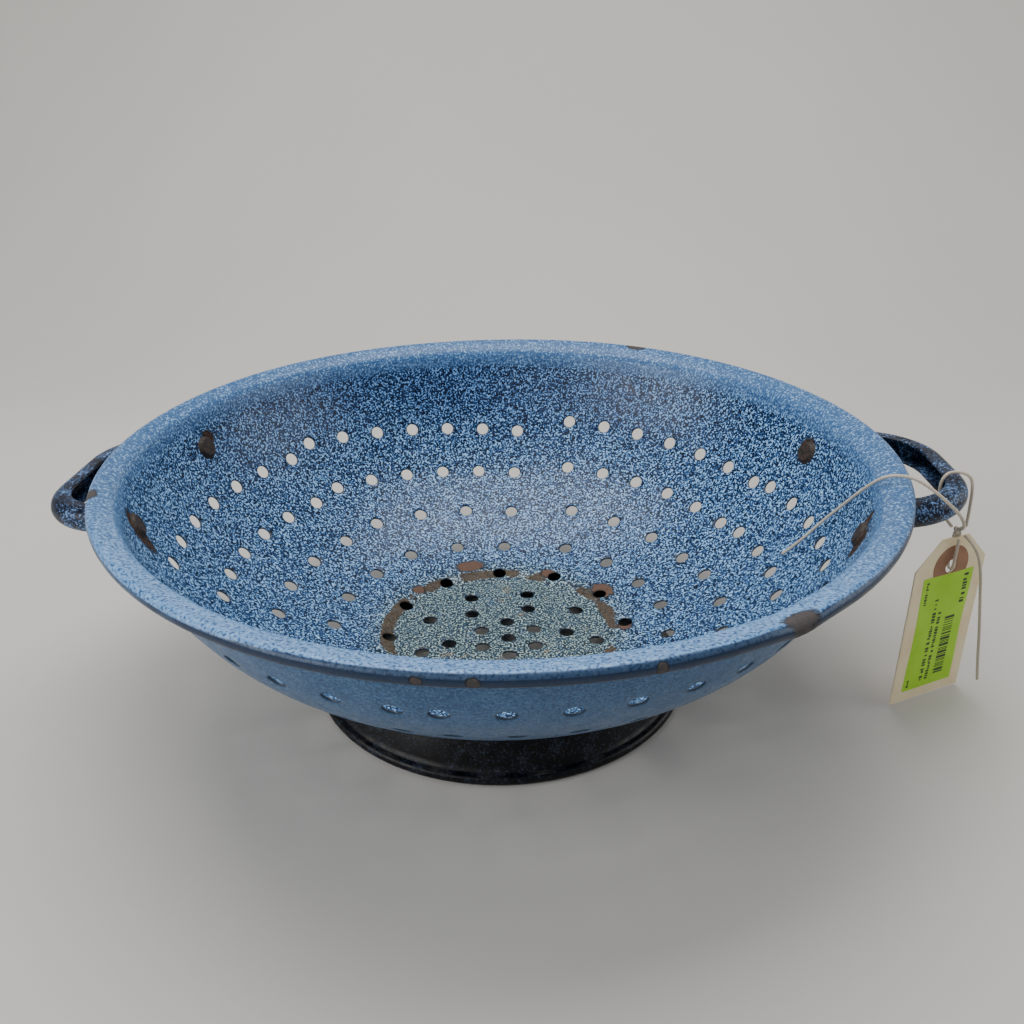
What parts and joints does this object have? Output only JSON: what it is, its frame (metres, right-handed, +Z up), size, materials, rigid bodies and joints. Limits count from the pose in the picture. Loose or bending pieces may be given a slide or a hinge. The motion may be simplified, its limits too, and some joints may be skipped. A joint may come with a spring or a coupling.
{
  "type": "footed enamelware colander",
  "caption": "Round enamelled steel colander on a flared foot ring, with two riveted channel loop handles and a paper tag tied to one of them with cotton string.",
  "frame": {"origin": "centre of the foot ring's base, on the surface the colander stands on", "axes": "+X through the middle of the handle that carries the tag, +Z up along the bowl's axis, +Y away from the side where the tag hangs"},
  "size_m": [0.3519, 0.292, 0.1017],
  "materials": {
    "enamel_blue": "glossy speckled vitreous enamel",
    "enamel_dark": "glossy speckled vitreous enamel",
    "bare_steel": "drawn wire",
    "manila_card": "matte tag stock",
    "brown_paper": "matte gummed paper",
    "green_paper": "matte printed label",
    "cotton": "twisted cotton string"
  },
  "bodies": {
    "colander": {"bowl": "enamel_blue", "rim_wire": "bare_steel", "foot_ring": "enamel_dark", "handle_right": "enamel_dark", "handle_left": "enamel_dark", "rivet_right_a": "enamel_blue", "rivet_right_b": "enamel_blue", "rivet_left_a": "enamel_blue", "rivet_left_b": "enamel_blue", "string_loop": "cotton", "string_long_end": "cotton"},
    "knot": {"string_knot": "cotton"},
    "tag": {"tag_card": "manila_card", "tag_patch_front": "brown_paper", "tag_patch_back": "brown_paper", "tag_label": "green_paper", "string_short_end": "cotton", "string_tag_strand": "cotton"}
  },
  "joints": [
    {"name": "tag_turn", "type": "hinge", "parent": "colander", "child": "knot", "pos_m": [0.168, -0.016, 0.0726], "axis": [0, 0, 1], "range_deg": [-45, 45]},
    {"name": "tag_swing", "type": "hinge", "parent": "knot", "child": "tag", "pos_m": [0.168, -0.016, 0.0726], "axis": [0.8926, 0.4509, 0], "range_deg": [-60, 60]}
  ]
}
